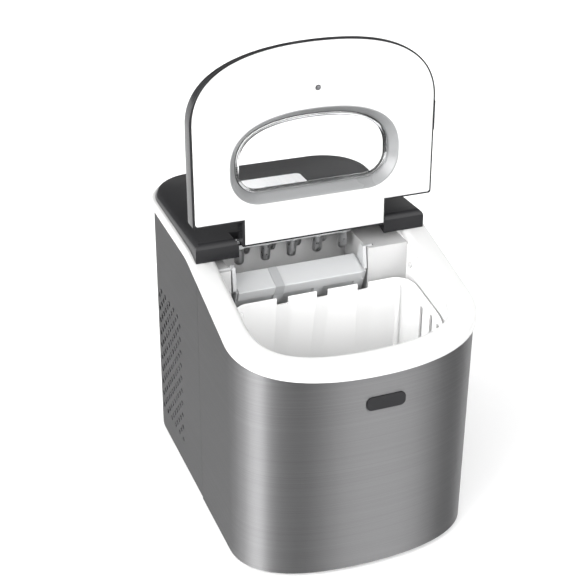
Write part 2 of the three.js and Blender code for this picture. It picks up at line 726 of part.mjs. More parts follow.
const lid = new THREE.Group();
lid.position.set(0, HINGE_Y, HINGE_Z);
lid.rotation.x = THREE.MathUtils.degToRad(90 - LID_LEAN);
cabinet.add(lid);
place('lid_shell', lidShell(), blackGloss, lid);
place('lid_liner', lidLiner(), whitePlastic, lid);
place('window_gasket', prism(windowShape(4.2), -0.6, 0.6, windowShape(10)), rubber, lid);
place('lid_window', prism(windowShape(7.6), -2.3, -0.9), clearPlastic, lid);
place('lid_screw', lidScrew(), chrome, lid);
place('hinge_pin_left', hingePin(-1), chrome, lid);
place('hinge_pin_right', hingePin(1), chrome, lid);

place('evaporator', evaporator(), chrome);
const tray = new THREE.Group();
tray.position.set(0, TRAY_PIVOT.y, TRAY_PIVOT.z);
tray.rotation.x = THREE.MathUtils.degToRad(TRAY_REST_TILT);
cabinet.add(tray);
const level = new THREE.Group();
level.position.set(0, -TRAY_PIVOT.y, -TRAY_PIVOT.z);
tray.add(level);
place('water_tray', waterTray(), paleGrey, level);
place('ice_chute', iceChute(), paleGrey, level);
place('tray_bearing', trayBearing(), whitePlastic);
place('tray_gearbox', gearbox(), whitePlastic);
place('ice_basket', iceBasket(), whitePlastic);

function iceSensor() {
  const wall = -TUB_HALF_WIDTH;
  return cylinder(SENSOR.radius, wall + GAP, wall + 2, 12).rotateY(Math.PI / 2);
}

place('ice_sensor_left', iceSensor().translate(0, SENSOR.y, SENSOR.z), whitePlastic);
const mirrored = iceSensor().rotateZ(Math.PI);
place('ice_sensor_right', mirrored.translate(0, SENSOR.y, SENSOR.z), whitePlastic);
const floatLow = TUB_FLOOR + TUB_WALL + GAP;
place('water_level_float', cylinder(8, floatLow, 112).translate(0, -110, 0), darkPlastic);

place('compressor', compressor(), blackPaint);
place('condenser', condenser(), silver);
place('fan_shroud', fanShroud(), darkPlastic);
place('condenser_fan', fanBlade(), darkPlastic);
place('fan_motor', fanMotor(), silver);
place('fan_motor_bracket', motorBracket(), silver);
place('filter_drier', cylinder(9, 44, 124).translate(-2, 150, 0), copper);
const dischargeRoute = [[-64, 112, 134.6], [-60, 112, 160], [-40, 118, 176], [40, 118, 176],
  [86, 112, 162], [90, 110, 124.6]];
place('discharge_pipe', pipe(dischargeRoute, 3, 24), copper);
const suctionRoute = [[-92, 100, 132], [-92, 96, 160], [-86, 70, 225], [-80, 66, 240],
  [-80, 60, 242], [-80, 53.4, 242]];
place('suction_pipe', pipe(suctionRoute, 3, 16), copper);
const pumpForm = [[0, 24], [17, 24], [17, 46], [10, 50], [10, 58], [0, 58]];
place('water_pump', turned(pumpForm).translate(-60, -60, 0), darkPlastic);
const pumpRoute = [[-60, -42.4, 34], [-56, 10, 34], [-30, 50, 50], [-14, 60, 100], [-14, 62, 230]];
place('pump_hose', pipe(pumpRoute, 4, 24), clearPlastic);

function atDrain(geometry) {
  return geometry.rotateY(Math.PI / 2).translate(0, DRAIN.y, DRAIN.z);
}

const fittingForm = [[0, 104], [9, 104], [9, 118], [6.2, 118], [6.2, 107], [0, 107]];
place('drain_fitting', atDrain(turned(fittingForm)), whitePlastic);
const plugForm = [[0, 107.5], [5.8, 107.5], [5.8, 118.4], [9, 118.4], [9, 122.4], [0, 122.8]];
place('drain_plug', atDrain(turned(plugForm)), rubber);
const drainRoute = [[103.5, -70, 30], [97, -70, 30], [84, -70, 40], [80, -70, 58], [80, -70, 91.5]];
place('drain_hose', pipe(drainRoute, 5, 16), clearPlastic);

export default machine;
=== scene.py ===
"""Looks for the countertop ice maker: finely made pieces, procedural materials, studio and camera."""
import json
import math

import bmesh
import bpy
from mathutils import Matrix, Vector


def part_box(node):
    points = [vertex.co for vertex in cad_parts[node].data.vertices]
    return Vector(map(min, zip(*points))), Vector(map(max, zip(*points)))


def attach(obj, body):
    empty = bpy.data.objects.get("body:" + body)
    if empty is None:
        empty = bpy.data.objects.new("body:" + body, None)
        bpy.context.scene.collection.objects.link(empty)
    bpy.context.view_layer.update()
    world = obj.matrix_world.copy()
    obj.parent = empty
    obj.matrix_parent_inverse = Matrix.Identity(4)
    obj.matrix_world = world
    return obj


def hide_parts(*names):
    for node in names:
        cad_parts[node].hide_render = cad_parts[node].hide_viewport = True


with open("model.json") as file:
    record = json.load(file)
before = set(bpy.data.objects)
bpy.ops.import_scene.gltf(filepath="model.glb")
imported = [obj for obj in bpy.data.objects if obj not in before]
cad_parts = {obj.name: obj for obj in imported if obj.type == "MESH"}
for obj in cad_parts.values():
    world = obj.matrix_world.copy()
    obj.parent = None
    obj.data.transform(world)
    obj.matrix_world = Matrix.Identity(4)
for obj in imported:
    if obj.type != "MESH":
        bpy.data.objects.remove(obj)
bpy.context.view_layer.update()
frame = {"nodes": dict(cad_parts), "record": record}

MM = 0.001
LIFT = 6.0  # the steel's lower edge above the worktop; heights below are from that edge

# ---------------------------------------------------------------- sizes, in millimetres
HALF_WIDTH = 121.0
REAR_HALF_WIDTH = 118.5
HALF_DEPTH = 171.5
FRONT_CURVE_START = -105.8
REAR_CORNER = 52.0
KINK_Y = 8.0
KINK_Z = 266.9
FRONT_SLOPE = 0.2885
REAR_RISE = 0.02
SEAM_Y = -18.0
SHEET = 0.8
RIM_OVERHANG = 2.8
RIM_RISE = 5.0
RIM_SKIRT = 3.5
TUB_HALF_WIDTH = 98.0
TUB_FRONT = -148.6
TUB_REAR = 50.0
TUB_FLOOR = 92.0
HOUSING_FRONT = -12.3
HOUSING_TOP = 285.0
HOUSING_FALL = 0.0207
HINGE = Vector((0.0, -7.5, 280.36 + LIFT))
LID_LEAN = 1.55
LID_FACE = 12.0
LID_BACK = -6.5
LID_HALF_WIDTH = 122.0
LID_LENGTH = 191.1
WINDOW_LOW = 40.6
WINDOW_HIGH = 125.6
TRAY_PIVOT = Vector((0.0, -14.0, 256.0))
TRAY_TILT = -68.0
PLATE_X = 4.0
CHUTE_TABS = (-39.5, 2.0, 45.0)
CHUTE_LEFT, CHUTE_RIGHT = -81.2, 47.2
CHUTE_FRONT, CHUTE_BACK, CHUTE_LOW, CHUTE_HIGH = -0.8, 1.2, 235.7, 261.0
CHUTE_LIP = 1.2
RIM_OUTER_EDGE, RIM_INNER_EDGE = 3.2, 6.0
RIM_UNDERSIDE = 4.7
BEND_Y = -92.0  # where the straight sides of the tub and the basket turn into the front curve
TUB_CORNER = 12.0
TUB_WALL = 2.4
TUB_FLOOR_THICKNESS = 2.5
BASKET_HALF_WIDTH, BASKET_FRONT, BASKET_REAR, BASKET_CORNER = 95.5, -146.5, -32.0, 20.0
BASKET_FLOOR = 122.3
BASKET_RIM_HEIGHT, BASKET_RIM_SLOPE = 232.0, 33.0  # height at y = 0, and rise over 200 mm
BASKET_WALL_SLOTS = ((-66.3, 160, 208), (-86.8, 160, 209), (-102.0, 160, 207))  # y, lowest z, highest z
BASKET_FLOOR_SLOTS = range(-60, 61, 15)  # x of each
BASKET_POST_X, BASKET_POST_Y = 82.7, -36.4
INLET_RADIUS, DRAIN_RADIUS = 8.3, 9.4
VENT = {"first_y": 44.0, "pitch_y": 7.2, "columns": 11, "low": 29.0, "pitch_z": 15.2, "rows": 10,
        "length": 6.0, "height": 5.4}
HOUSING_SETBACK = 1.6
NOTCH_HALF_WIDTH, NOTCH_BACK = 75.5, 3.0
PLATE_HALF_WIDTH = 36
BUTTON_X, BUTTON_Y = 15, 60
TONGUE_HALF_WIDTH = 73.5
LID_SHOULDER, LID_BEND = 24.1, 121.1
LID_EDGE = 3.0
WINDOW_HALF_WIDTH, WINDOW_CORNER = 84.0, 30.0
WINDOW_CUT, WINDOW_CUT_INSIDE = 7.3, 5.2
WINDOW_CENTRE = (0.0, 83.0)
GRIP_LOW, GRIP_HIGH = 88, 118
STEP_HALF_WIDTH, STEP_LOW, STEP_HIGH, STEP_DEPTH = 98.0, 30.0, 164.0, 0.9
LINER_SCREW_X, LINER_SCREW_Y = 1.6, 145.3
FINGER_X, FINGER_PITCH = -66.5, 27.2
FINGER_ROWS = ((14, 5, 0.0), (34, 4, 13.6))  # y, how many, and how far along the row starts
EDGE_ROUNDING = {
    "water_tray": 0.5, "tray_bearing": 1.2, "tray_gearbox": 1.6, "cord_gland": 0.3, "drain_plug": 0.4,
    "drain_fitting": 0.3, "front_badge": 0.35, "base_pan": 0.6, "foot_front_left": 0.5,
    "foot_front_right": 0.5, "foot_rear_left": 0.5, "foot_rear_right": 0.5, "water_pump": 0.8,
    "fan_shroud": 0.6, "condenser": 0.4,
}
# the CAD nodes that get the greyer copy of the white plastic, painted shade
PAINTED_SHADE_NODES = ("tray_gearbox", "tray_bearing")

# ---------------------------------------------------------------- places, studio and camera
LID_PLACE = Matrix.Translation(HINGE * MM) @ Matrix.Rotation(math.radians(90 - LID_LEAN), 4, "X")
TRAY_PLACE = (Matrix.Translation(Vector((0, TRAY_PIVOT.y, TRAY_PIVOT.z + LIFT)) * MM)
              @ Matrix.Rotation(math.radians(TRAY_TILT), 4, "X")
              @ Matrix.Translation(Vector((0, -TRAY_PIVOT.y, -TRAY_PIVOT.z)) * MM))
WORLD_STRENGTH = 0.62
CEILING = 1.35
CEILING_FADE = (0.45, 0.85)  # upward part of a direction where the ceiling starts and has taken over
# bearing in degrees and brightness; the first two are the ends of the range
STUDIO_WALLS = [(-180, 0.4), (180, 0.4), (-157, 0.5), (-130, 2.4), (-98, 7.0), (-76, 17.0), (-60, 17.0),
                (-46, 5.0), (-28, 1.2), (-10, 0.1), (2, 2.6), (15, 9.5), (30, 8.5), (46, 2.0), (62, 0.05),
                (82, 0.05), (98, 3.5), (140, 0.8)]
FLOOR_REACH = 9
LENS = 81.2
CAMERA_ANGLES = (-21.91, 28.03, 0.55)  # yaw, pitch, roll
CAMERA_PLACE = Vector((-0.44624, -1.07162, 0.82527 + LIFT * MM))


def steel_top(y):
    """Height of the steel's upper edge, with the kink eased over a few millimetres."""
    front = KINK_Z - FRONT_SLOPE * (KINK_Y - y)
    rear = KINK_Z + REAR_RISE * (y - KINK_Y)
    ease = 1.2
    return 0.5 * (front + rear - math.sqrt((front - rear) ** 2 + ease ** 2))


def housing_top(y):
    return HOUSING_TOP - HOUSING_FALL * (y - HOUSING_FRONT)


# ---------------------------------------------------------------- mesh helpers
def finish_mesh(name, mesh, body, material, stands_for=(), smooth=32.0, placed=None):
    """Makes the object, in metres, rides it on its body and gives it its finish."""
    if placed is None:
        mesh.transform(Matrix.Translation((0, 0, LIFT)))
    mesh.transform(Matrix.Scale(MM, 4))
    if placed is not None:
        mesh.transform(placed)
    for polygon in mesh.polygons:
        polygon.use_smooth = True
    mesh.set_sharp_from_angle(angle=math.radians(smooth))
    piece = bpy.data.objects.new(name, mesh)
    bpy.context.scene.collection.objects.link(piece)
    mesh.materials.clear()
    mesh.materials.append(material)
    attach(piece, body)
    if stands_for:
        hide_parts(*stands_for)


def mesh_from(vertices, faces):
    mesh = bpy.data.meshes.new("mesh")
    mesh.from_pydata([tuple(v) for v in vertices], [], faces)
    tidy = bmesh.new()
    tidy.from_mesh(mesh)
    bmesh.ops.remove_doubles(tidy, verts=tidy.verts, dist=1e-4)
    bmesh.ops.dissolve_degenerate(tidy, edges=tidy.edges, dist=1e-5)
    bmesh.ops.recalc_face_normals(tidy, faces=tidy.faces)
    tidy.to_mesh(mesh)
    tidy.free()
    return mesh


def skin(rings, wrap=False, cap=True):
    """Quads between neighbouring rings; wrap joins the last ring to the first."""
    count = len(rings[0])
    vertices = [p for ring in rings for p in ring]
    faces = []
    last = len(rings) if wrap else len(rings) - 1
    for r in range(last):
        a, b = r * count, ((r + 1) % len(rings)) * count
        for i in range(count):
            j = (i + 1) % count
            faces.append((a + i, a + j, b + j, b + i))
    if cap and not wrap:
        faces.append(tuple(range(count)))
        faces.append(tuple(range(len(vertices) - count, len(vertices))))
    return mesh_from(vertices, faces)


def merged(*meshes):
    """Several closed meshes as one mesh of separate shells."""
    joined = bmesh.new()
    for mesh in meshes:
        joined.from_mesh(mesh)
    result = bpy.data.meshes.new("mesh")
    joined.to_mesh(result)
    joined.free()
    return result


def boolean(mesh, other, operation):
    """The exact union, difference or intersection of two meshes."""
    body = bpy.data.objects.new("tmp_body", mesh)
    tool = bpy.data.objects.new("tmp_tool", other)
    for item in (body, tool):
        bpy.context.scene.collection.objects.link(item)
    step = body.modifiers.new("cut", "BOOLEAN")
    step.operation = operation
    step.solver = "EXACT"
    step.object = tool
    depsgraph = bpy.context.evaluated_depsgraph_get()
    result = bpy.data.meshes.new_from_object(body.evaluated_get(depsgraph))
    for item in (body, tool):
        bpy.data.objects.remove(item)
    return result


def bevelled(piece, width, segments=3, angle=35.0):
    step = piece.modifiers.new("bevel", "BEVEL")
    step.width = width * MM
    step.segments = segments
    step.limit_method = "ANGLE"
    step.angle_limit = math.radians(angle)
    step.harden_normals = True


def plate(outlines, low, high, edge=0.0):
    """A flat slab between two heights whose first outline is its edge and the others its holes."""
    curve = bpy.data.curves.new("plate", "CURVE")
    curve.dimensions = "2D"
    curve.fill_mode = "BOTH"
    curve.extrude = (high - low) / 2 - edge
    curve.bevel_depth = edge
    curve.bevel_resolution = 3
    curve.offset = -edge
    for outline in outlines:
        spline = curve.splines.new("POLY")
        spline.points.add(len(outline) - 1)
        spline.use_cyclic_u = True
        for point, (x, y) in zip(spline.points, outline):
            point.co = (x, y, 0, 1)
    holder = bpy.data.objects.new("tmp_plate", curve)
    bpy.context.scene.collection.objects.link(holder)
    depsgraph = bpy.context.evaluated_depsgraph_get()
    mesh = bpy.data.meshes.new_from_object(holder.evaluated_get(depsgraph))
    bpy.data.objects.remove(holder)
    mesh.transform(Matrix.Translation((0, 0, (low + high) / 2)))
    tidy = bmesh.new()
    tidy.from_mesh(mesh)
    bmesh.ops.remove_doubles(tidy, verts=tidy.verts, dist=1e-3)
    bmesh.ops.recalc_face_normals(tidy, faces=tidy.faces)
    tidy.to_mesh(mesh)
    tidy.free()
    return mesh


def turned(profile, segments=48):
    """A body of revolution about Z from [radius, height] corners."""
    rings = []
    for radius, height in profile:
        radius = max(radius, 1e-3)
        rings.append([(radius * math.cos(2 * math.pi * i / segments),
                       radius * math.sin(2 * math.pi * i / segments), height) for i in range(segments)])
    return skin(rings)


def line(start, end, steps):
    """Points from start up to, but without, end."""
    return [tuple(s + (e - s) * k / steps for s, e in zip(start, end)) for k in range(steps)]


def arc(cx, cy, radius, first, last, steps):
    angles = [math.radians(first + (last - first) * k / steps) for k in range(steps)]
    return [(cx + radius * math.cos(a), cy + radius * math.sin(a)) for a in angles]


def bezier(p0, p1, p2, p3, steps):
    points = []
    for k in range(steps):
        t = k / steps
        a, b, c, d = (1 - t) ** 3, 3 * t * (1 - t) ** 2, 3 * t * t * (1 - t), t ** 3
        points.append(tuple(a * w + b * x + c * y + d * z for w, x, y, z in zip(p0, p1, p2, p3)))
    return points


def rounded_box(x0, x1, y0, y1, radius, steps=8):
    return (arc(x1 - radius, y0 + radius, radius, -90, 0, steps) + [(x1, y0 + radius)]
            + arc(x1 - radius, y1 - radius, radius, 0, 90, steps) + [(x1 - radius, y1)]
            + arc(x0 + radius, y1 - radius, radius, 90, 180, steps) + [(x0, y1 - radius)]
            + arc(x0 + radius, y0 + radius, radius, 180, 270, steps) + [(x0 + radius, y0)])


def circle(cx, cy, radius, steps=32):
    return arc(cx, cy, radius, 0, 360, steps)


# ---------------------------------------------------------------- outlines seen from above
def side_x(y, inset=0.0):
    along = (y - FRONT_CURVE_START) / (HALF_DEPTH - REAR_CORNER - FRONT_CURVE_START)
    return HALF_WIDTH + (REAR_HALF_WIDTH - HALF_WIDTH) * along - inset


def front_curve(inset, steps):
    side, front = HALF_WIDTH - inset, inset - HALF_DEPTH
    left = bezier((-side, FRONT_CURVE_START), (-side, -144.0), (-87.0, front), (0.0, front), steps)
    right = bezier((0.0, front), (87.0, front), (side, -144.0), (side, FRONT_CURVE_START), steps)
    return left + right


def body_outline(inset, side_steps=26, corner_steps=16, rear_steps=10, front_steps=28):
    """The machine's plan, counter-clockwise from the right side's front end."""
    centre, level = REAR_HALF_WIDTH - REAR_CORNER, HALF_DEPTH - REAR_CORNER
    radius = REAR_CORNER - inset
    side = HALF_WIDTH - inset
    return (line((side, FRONT_CURVE_START), (centre + radius, level), side_steps)
            + arc(centre, level, radius, 0, 90, corner_steps)
            + line((centre, level + radius), (-centre, level + radius), rear_steps)
            + arc(-centre, level, radius, 90, 180, corner_steps)
            + line((-centre - radius, level), (-side, FRONT_CURVE_START), side_steps)
            + front_curve(inset, front_steps))


def opening_outline(inset, side_steps=26, corner_steps=16, rear_steps=10, front_steps=28):
    """The tub's mouth, with as many points as body_outline has."""
    side, front, corner = TUB_HALF_WIDTH - inset, TUB_FRONT + inset, max(TUB_CORNER - inset, 1.0)
    rear = TUB_REAR - inset
    return (line((side, BEND_Y), (side, rear - corner), side_steps)
            + arc(side - corner, rear - corner, corner, 0, 90, corner_steps)
            + line((side - corner, rear), (corner - side, rear), rear_steps)
            + arc(corner - side, rear - corner, corner, 90, 180, corner_steps)
            + line((-side, rear - corner), (-side, BEND_Y), side_steps)
            + bezier((-side, BEND_Y), (-side, -132.0), (-78.0, front), (0.0, front), front_steps)
            + bezier((0.0, front), (78.0, front), (side, -132.0), (side, BEND_Y), front_steps))


# ---------------------------------------------------------------- materials
class Nodes:
    """A short way to build one material's node tree."""

    def __init__(self, name):
        self.material = bpy.data.materials.new(name)
        self.material.use_nodes = True
        self.tree = self.material.node_tree
        self.shader = self.tree.nodes["Principled BSDF"]
        coordinates = self.tree.nodes.new("ShaderNodeTexCoord")
        self.place = coordinates.outputs["Object"]

    def stretched(self, scale):
        mapping = self.tree.nodes.new("ShaderNodeMapping")
        mapping.inputs["Scale"].default_value = scale
        self.tree.links.new(self.place, mapping.inputs["Vector"])
        return mapping.outputs["Vector"]

    def noise(self, scale, detail=3.0, roughness=0.5, stretch=(1, 1, 1)):
        noise = self.tree.nodes.new("ShaderNodeTexNoise")
        noise.inputs["Scale"].default_value = scale
        noise.inputs["Detail"].default_value = detail
        noise.inputs["Roughness"].default_value = roughness
        self.tree.links.new(self.stretched(stretch), noise.inputs["Vector"])
        return noise.outputs["Fac"]

    def ramp(self, value, low, high, start=0.3, end=0.7):
        """Turns a 0 to 1 value into a range of numbers or colours."""
        ramp = self.tree.nodes.new("ShaderNodeValToRGB")
        colours = [c if hasattr(c, "__len__") else (c, c, c) for c in (low, high)]
        for element, position, colour in zip(ramp.color_ramp.elements, (start, end), colours):
            element.position = position
            element.color = (*colour, 1.0)
        self.tree.links.new(value, ramp.inputs["Fac"])
        return ramp.outputs["Color"]

    def set(self, **values):
        for socket, value in values.items():
            self.shader.inputs[socket.replace("_", " ")].default_value = value

    def link(self, output, socket):
        self.tree.links.new(output, self.shader.inputs[socket])

    def bump(self, value, strength, distance):
        bump = self.tree.nodes.new("ShaderNodeBump")
        bump.inputs["Strength"].default_value = strength
        bump.inputs["Distance"].default_value = distance * MM
        self.tree.links.new(value, bump.inputs["Height"])
        self.link(bump.outputs["Normal"], "Normal")


def brushed_steel():
    """Satin steel brushed level round the body: fine straight lines, a little cloudiness."""
    m = Nodes("brushed_steel")
    m.set(Metallic=1.0, Anisotropic=1.0, Anisotropic_Rotation=0.25)
    lines = m.noise(1.0, 5.0, 0.7, (3, 3, 3600))
    m.link(m.ramp(lines, (0.155, 0.155, 0.157), (0.225, 0.225, 0.228)), "Base Color")
    m.link(m.ramp(lines, 0.52, 0.60), "Roughness")
    m.bump(lines, 0.06, 0.03)
    tangent = m.tree.nodes.new("ShaderNodeTangent")
    tangent.direction_type = "RADIAL"
    tangent.axis = "Z"
    m.link(tangent.outputs["Tangent"], "Tangent")
    return m.material


def moulded(name, colour, darker, roughness, bump=0.05, scale=900.0):
    """Moulded plastic: a fine skin texture with slight colour and gloss variation."""
    m = Nodes(name)
    m.set(IOR=1.5)
    clouds = m.noise(14.0, 3.0)
    grain = m.noise(scale, 2.0)
    m.link(m.ramp(clouds, darker, colour), "Base Color")
    m.link(m.ramp(clouds, roughness * 0.85, roughness * 1.15), "Roughness")
    m.bump(grain, bump, 0.05)
    return m.material


def clear_plastic(name, tint, roughness, ior=1.3, gloss=0.5):
    m = Nodes(name)
    m.set(Transmission_Weight=1.0, IOR=ior, Specular_IOR_Level=gloss)
    clouds = m.noise(20.0, 2.0)
    m.link(m.ramp(clouds, tint, (1.0, 1.0, 1.0)), "Base Color")
    m.link(m.ramp(clouds, roughness, roughness * 2), "Roughness")
    m.bump(m.noise(60.0, 1.0), 0.03, 0.1)
    return m.material


def metal(name, low, high, roughness, stretch=(1, 1, 1), scale=300.0):
    m = Nodes(name)
    m.set(Metallic=1.0)
    grain = m.noise(scale, 4.0, 0.6, stretch)
    m.link(m.ramp(grain, low, high), "Base Color")
    m.link(m.ramp(grain, roughness * 0.7, roughness * 1.4), "Roughness")
    m.bump(grain, 0.06, 0.04)
    return m.material


STEEL = brushed_steel()
WHITE = moulded("white_plastic", (0.50, 0.50, 0.498), (0.49, 0.49, 0.488), 0.34)
# painted shade: a greyer copy of the white plastic for the tray gearbox and bearing, which sit in the
# cavity's shade
SIDE_PAINTED_SHADE = moulded("side_moulding_painted_shade", (0.44, 0.44, 0.44), (0.425, 0.425, 0.425), 0.4)
# painted light: a brighter copy of the white plastic, so the tub's walls in the cavity's shade come out white
TUB_PAINTED_LIGHT = moulded("tub_plastic_painted_light", (0.72, 0.72, 0.718), (0.706, 0.706, 0.704), 0.36)
# painted shade: the window opening's wall is white plastic, given this dark grey copy to stand for its shade
FUNNEL_PAINTED_SHADE = moulded("funnel_painted_shade", (0.20, 0.203, 0.206), (0.185, 0.188, 0.19), 0.3)
# painted light: a brighter copy of the white plastic, so the basket in the cavity's shade comes out white
BASKET_PAINTED_LIGHT = moulded("basket_plastic_painted_light", (0.66, 0.66, 0.658), (0.645, 0.645, 0.643), 0.36)
TRAY = moulded("tray_plastic", (0.40, 0.405, 0.41), (0.38, 0.385, 0.39), 0.42)
# painted shade: a darker copy of the tray plastic standing for the shade in the chute's groove
TRAY_RIB_PAINTED_SHADE = moulded("tray_rib_painted_shade", (0.31, 0.315, 0.32), (0.29, 0.295, 0.30), 0.3)
BLACK = moulded("black_gloss", (0.014, 0.014, 0.015), (0.011, 0.011, 0.012), 0.2, 0.03, 500.0)
BLACK.node_tree.nodes["Principled BSDF"].inputs["Specular IOR Level"].default_value = 0.14
DARK = moulded("dark_plastic", (0.05, 0.05, 0.054), (0.036, 0.036, 0.04), 0.5, 0.3, 1400.0)
RUBBER = moulded("seal_rubber", (0.03, 0.03, 0.03), (0.02, 0.02, 0.02), 0.75, 0.35, 1800.0)
CLEAR = clear_plastic("window_clear", (0.965, 0.975, 0.98), 0.02)
FLANGE = clear_plastic("window_flange", (0.42, 0.43, 0.435), 0.06)
PANE = clear_plastic("window_pane", (0.98, 0.985, 0.99), 0.01, 1.06, 0.1)
HOSE = clear_plastic("clear_hose", (0.86, 0.88, 0.87), 0.2)
SILVER = metal("panel_silver", (0.72, 0.725, 0.73), (0.80, 0.805, 0.81), 0.42, (700, 1, 1), 1.0)
SILVER.node_tree.nodes["Principled BSDF"].inputs["Metallic"].default_value = 0.25
CHROME = metal("bright_metal", (0.62, 0.63, 0.64), (0.74, 0.75, 0.76), 0.16)
NICKEL = metal("finger_metal", (0.66, 0.665, 0.67), (0.74, 0.745, 0.75), 0.34)
SCREW_STEEL = metal("screw_steel", (0.10, 0.10, 0.105), (0.16, 0.16, 0.165), 0.3)
COPPER = metal("copper_pipe", (0.55, 0.28, 0.17), (0.72, 0.41, 0.27), 0.3)
ALUMINIUM = metal("mill_aluminium", (0.55, 0.56, 0.57), (0.70, 0.71, 0.72), 0.38)
ENAMEL = moulded("black_enamel", (0.022, 0.022, 0.024), (0.014, 0.014, 0.015), 0.3, 0.3, 260.0)
BOARD = moulded("circuit_board", (0.03, 0.16, 0.07), (0.02, 0.12, 0.05), 0.4, 0.4, 500.0)

SLOT_MATERIALS = {
    "brushed_steel": STEEL, "white_plastic": WHITE, "tray_plastic": TRAY, "black_gloss": BLACK,
    "window_clear": CLEAR, "seal_rubber": RUBBER, "panel_silver": SILVER, "bright_metal": CHROME,
    "dark_plastic": DARK, "copper_pipe": COPPER, "black_enamel": ENAMEL, "mill_aluminium": ALUMINIUM,
    "circuit_board": BOARD, "clear_hose": HOSE,
}


# ---------------------------------------------------------------- steel body
def wall_strip(outer, inner, low):
    """A sheet that follows an open outline, with its upper edge on the machine's top line."""
    ring = outer + inner[::-1]
    levels = [[(x, y, low + (steel_top(y) - low) * t) for x, y in ring] for t in (0.0, 0.004, 0.996, 1.0)]
    return skin(levels)


def front_band(inset):
    right = line((side_x(FRONT_CURVE_START, inset), FRONT_CURVE_START), (side_x(SEAM_Y, inset), SEAM_Y), 14)
    left = [(-x, y) for x, y in right[1:]]
    end = (side_x(SEAM_Y, inset), SEAM_Y)
    return [(-end[0], end[1])] + left[::-1] + front_curve(inset, 40) + right + [end]


def rear_band(inset):
    side_steps, corner_steps, rear_steps = 40, 24, 4
    count = 2 * side_steps + 2 * corner_steps + rear_steps
    points = body_outline(inset, side_steps, corner_steps, rear_steps, 4)
    band = [p for p in points[:count] if p[1] > SEAM_Y + 0.3]
    start = (side_x(SEAM_Y + 0.3, inset), SEAM_Y + 0.3)
    return [start] + band + [(-start[0], start[1])]


def slot_cutter(y, z, length, height, reach=150.0):
    """A rounded slot that goes through both side walls."""
    outline = rounded_box(y, y + length, z, z + height, min(height, length) / 2 - 0.05, 5)
    return skin([[(x, a, b) for a, b in outline] for x in (-reach, reach)])


def rear_sheet():
    mesh = wall_strip(rear_band(0.0), rear_band(SHEET), 2.0)
    cutters = []
    for column in range(VENT["columns"]):
        stagger = VENT["pitch_z"] / 2 if column % 2 else 0.0
        for row in range(VENT["rows"]):
            y = VENT["first_y"] + column * VENT["pitch_y"]
            z = VENT["low"] + row * VENT["pitch_z"] + stagger
            cutters.append(slot_cutter(y, z, VENT["length"], VENT["height"]))
    mesh = boolean(mesh, merged(*cutters), "DIFFERENCE")
    low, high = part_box("cord_gland")
    centre = [(a + b) / 2 / MM for a, b in zip(low, high)]
    inlet = turned([(INLET_RADIUS, 0), (INLET_RADIUS, 40)])
    inlet.transform(Matrix.Translation((centre[0], 140, centre[2] - LIFT))
                    @ Matrix.Rotation(math.radians(-90), 4, "X"))
    return boolean(mesh, inlet, "DIFFERENCE")


def front_sheet():
    mesh = wall_strip(front_band(0.0), front_band(SHEET), 0.0)
    low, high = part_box("drain_plug")
    centre = [(a + b) / 2 / MM for a, b in zip(low, high)]
    hole = turned([(DRAIN_RADIUS, 0), (DRAIN_RADIUS, 40)])
    hole.transform(Matrix.Translation((100, centre[1], centre[2] - LIFT))
                   @ Matrix.Rotation(math.radians(90), 4, "Y"))
    return boolean(mesh, hole, "DIFFERENCE")


finish_mesh("front_sheet", front_sheet(), "cabinet", STEEL, ["front_wrap"])
finish_mesh("rear_sheet", rear_sheet(), "cabinet", STEEL, ["rear_wrap"])


# ---------------------------------------------------------------- rim, tub and basket
def below_rim(outline, drop):
    """A ring over the outline that follows the rim's top surface, drop millimetres below it."""
    return [(x, y, steel_top(y) + RIM_RISE - drop) for x, y in outline]


def rim_mesh():
    """A closed skin whose section is the same all round, with rounded outer and inner edges."""
    def outer(inset, drop):
        return below_rim(body_outline(inset - RIM_OVERHANG), drop)

    def inner(inset, drop):
        return below_rim(opening_outline(inset), drop)

    total = RIM_RISE + RIM_SKIRT
    arcs = [math.radians(angle) for angle in range(0, 91, 15)]
    rings = [outer(0.5, total), outer(0.0, total - 0.5)]
    edge = RIM_OUTER_EDGE
    rings += [outer(edge - edge * math.cos(a), edge - edge * math.sin(a)) for a in arcs]
    edge = RIM_INNER_EDGE
    rings += [inner(-edge + edge * math.sin(a), edge - edge * math.cos(a)) for a in arcs]
    rings += [inner(0, total + 0.1), inner(-TUB_WALL, total + 0.1), inner(-TUB_WALL, RIM_UNDERSIDE)]
    rings += [outer(RIM_OVERHANG + 0.2, RIM_UNDERSIDE), outer(RIM_OVERHANG - 0.3, total)]
    return skin(rings, wrap=True)


def level_ring(outline, z):
    return [(x, y, z) for x, y in outline]


def tub_mesh():
    top = -RIM_SKIRT - 0.3
    rings = []
    floor, base = TUB_FLOOR + TUB_FLOOR_THICKNESS, TUB_FLOOR + 0.1
    for z, inset in ((floor, 40.0), (floor, 16.0), (floor + 1.5, 9.0), (floor + 5, 4.0), (floor + 12, 1.0),
                     (floor + 22, 0.0), (180.0, 0.0)):
        rings.append(level_ring(opening_outline(inset), z))
    rings.append([(x, y, steel_top(y) + top) for x, y in opening_outline(0.0)])
    rings.append([(x, y, steel_top(y) + top) for x, y in opening_outline(-TUB_WALL)])
    for z, inset in ((floor + 12, -TUB_WALL), (floor + 2, 3.0), (base, 16.0), (base, 40.0)):
        rings.append(level_ring(opening_outline(inset), z))
    return skin(rings)


